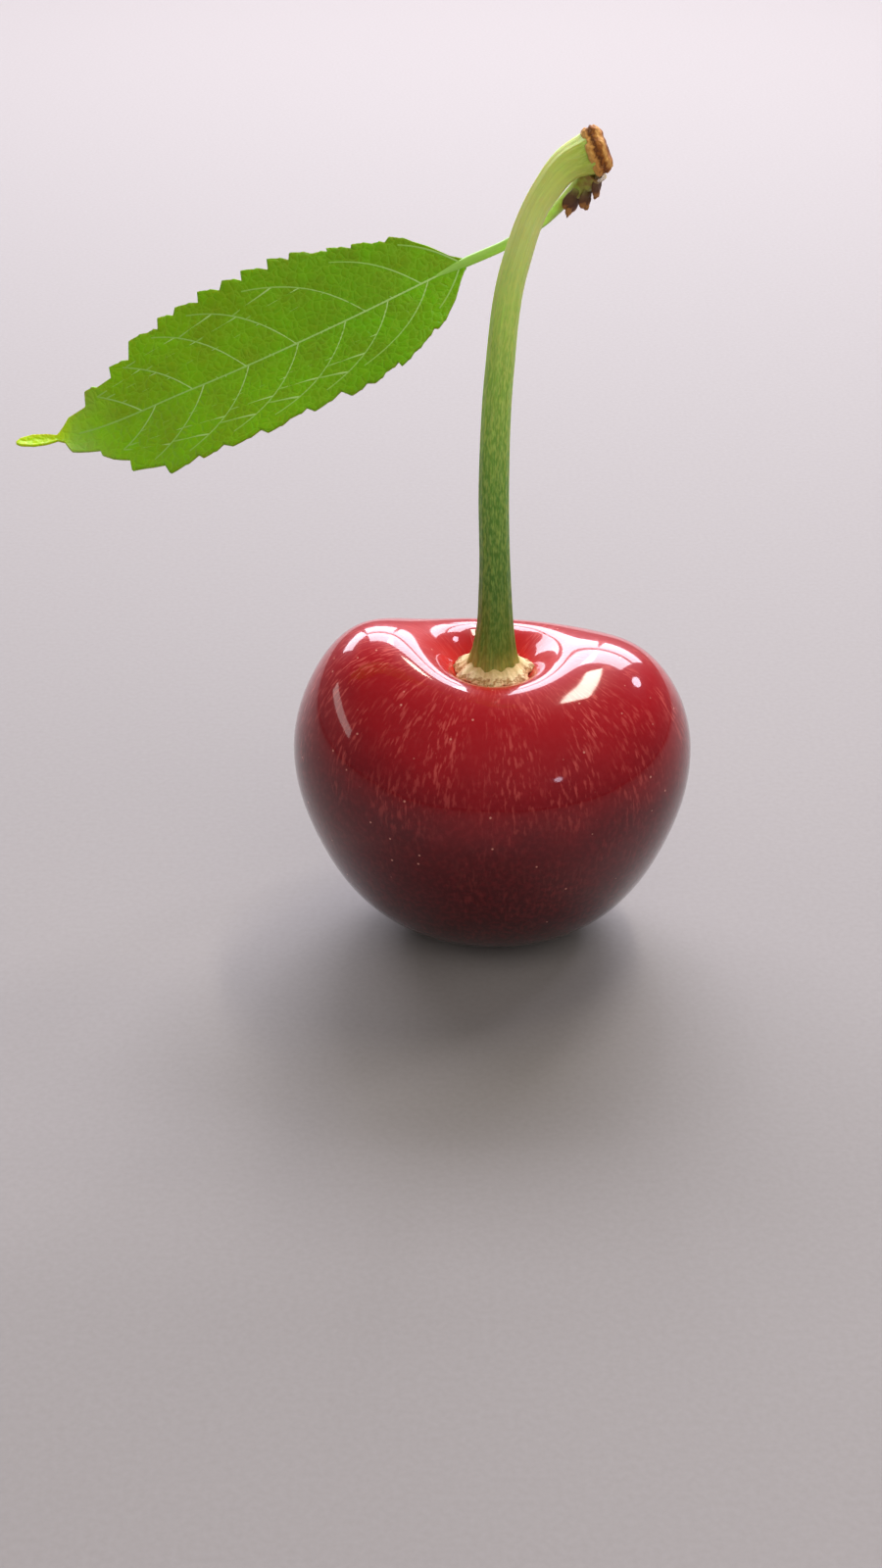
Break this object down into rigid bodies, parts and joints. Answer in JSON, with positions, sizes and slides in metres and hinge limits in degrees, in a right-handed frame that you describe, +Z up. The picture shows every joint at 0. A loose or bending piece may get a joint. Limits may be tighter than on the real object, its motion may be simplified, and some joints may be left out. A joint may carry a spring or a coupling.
{
  "type": "sweet cherry with stem and leaf",
  "caption": "Ripe sweet cherry as picked, glossy red, standing on its flat blossom end, with its curved green stem, corky scar and a small toothed leaf.",
  "frame": {"origin": "middle of the small flat spot at the fruit's blossom end, on the surface that the cherry stands on", "axes": "+Z up along the fruit's core; +X is the side that the stem's top end leans to, the leaf hangs towards -X; +Y is away from the broad front of the fruit"},
  "size_m": [0.0437, 0.0222, 0.0558],
  "materials": {
    "cherry_skin": "gloss",
    "stem_skin": "satin",
    "dried_receptacle": "matte",
    "corky_scar": "matte",
    "leaf_blade": "satin",
    "dried_scale": "matte"
  },
  "bodies": {
    "root": {"fruit": "cherry_skin", "stem": "stem_skin", "receptacle_ring": "dried_receptacle", "stem_scar": "corky_scar", "leaf": "leaf_blade", "bud_scale_1": "dried_scale", "bud_scale_2": "dried_scale", "bud_scale_3": "dried_scale"}
  },
  "joints": []
}
